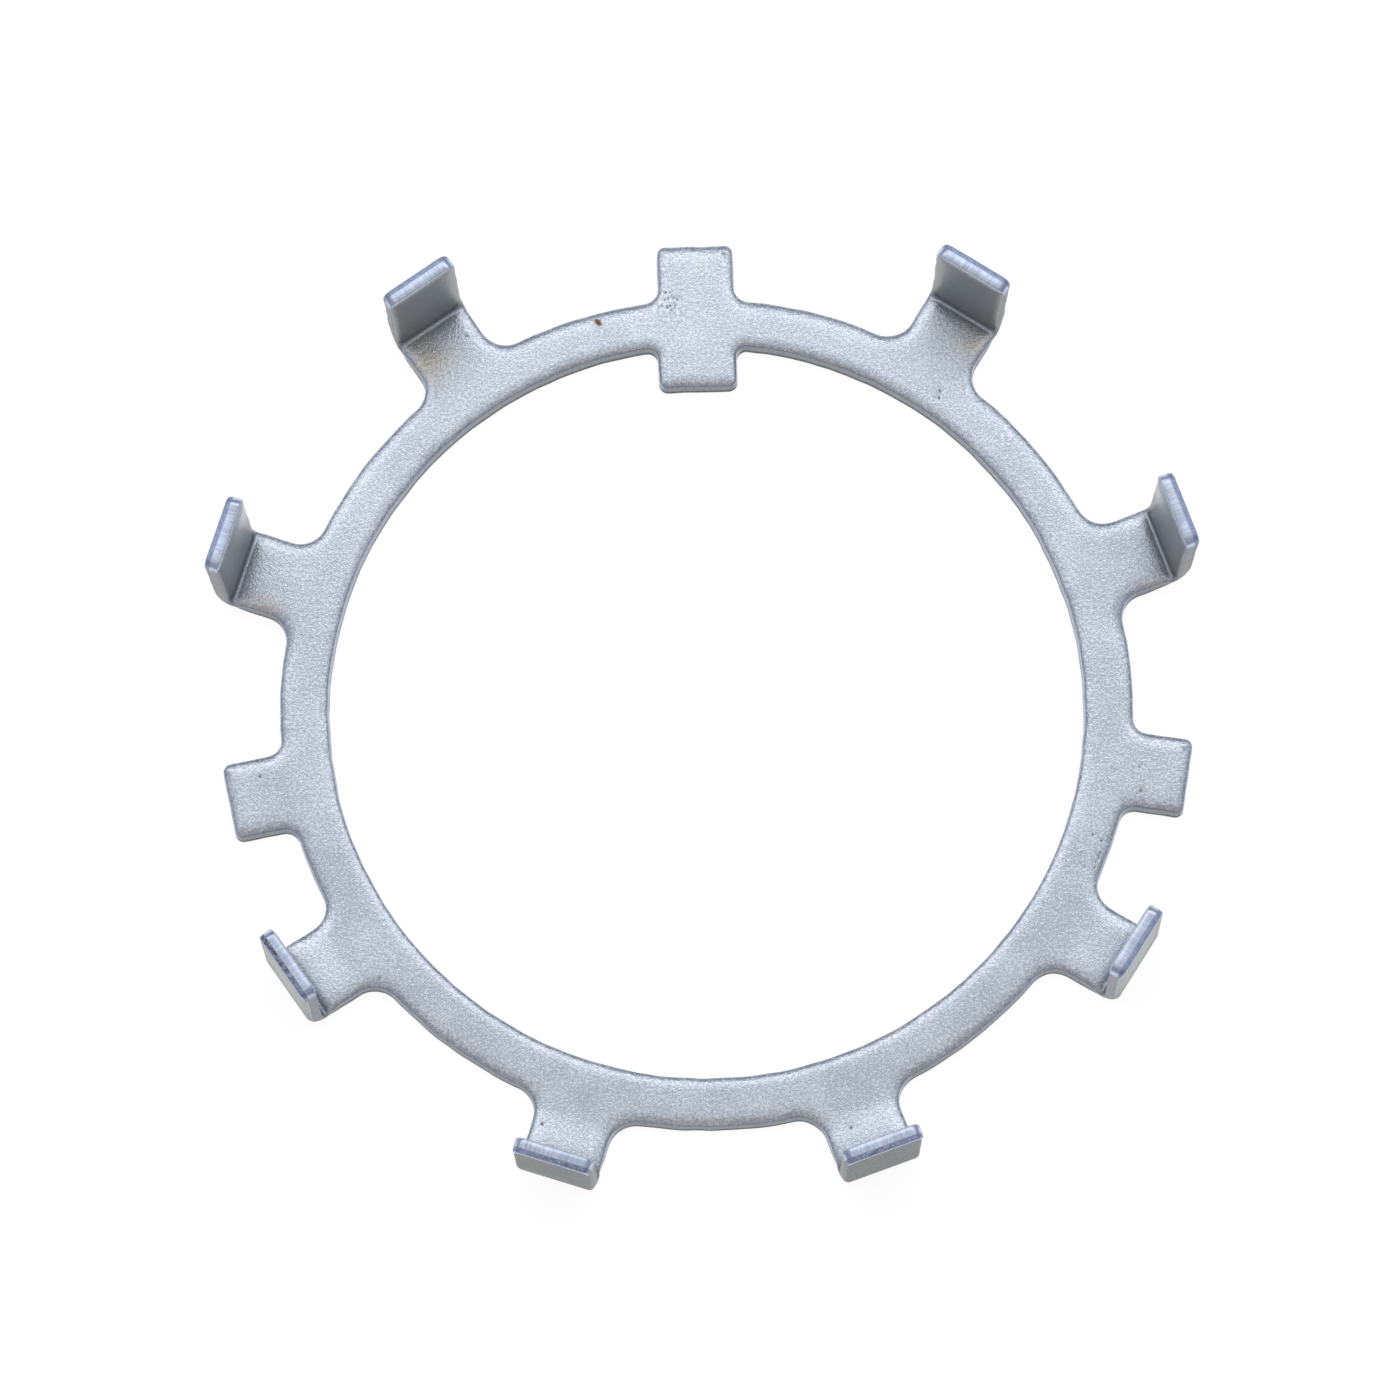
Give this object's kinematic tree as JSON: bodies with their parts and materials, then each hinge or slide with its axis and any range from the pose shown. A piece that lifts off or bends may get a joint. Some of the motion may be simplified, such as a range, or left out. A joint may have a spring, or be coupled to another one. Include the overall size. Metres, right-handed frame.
{
  "type": "tab lock washer",
  "caption": "Flat ring washer stamped from sheet steel, with a key standing into its bore, short flat tabs and longer tabs bent up square that lock a spindle nut.",
  "frame": {"origin": "centre of the bore on the washer's underside", "axes": "+Z along the bore's axis, towards the side that the long tabs are bent to; +Y from the axis to the key; +X to the right of the key seen from above"},
  "size_m": [0.0866, 0.0863, 0.0121],
  "materials": {
    "sheet_steel": "satin, finely grained from tumbling, faintly blue"
  },
  "bodies": {
    "root": {"lock_washer": "sheet_steel"}
  },
  "joints": []
}
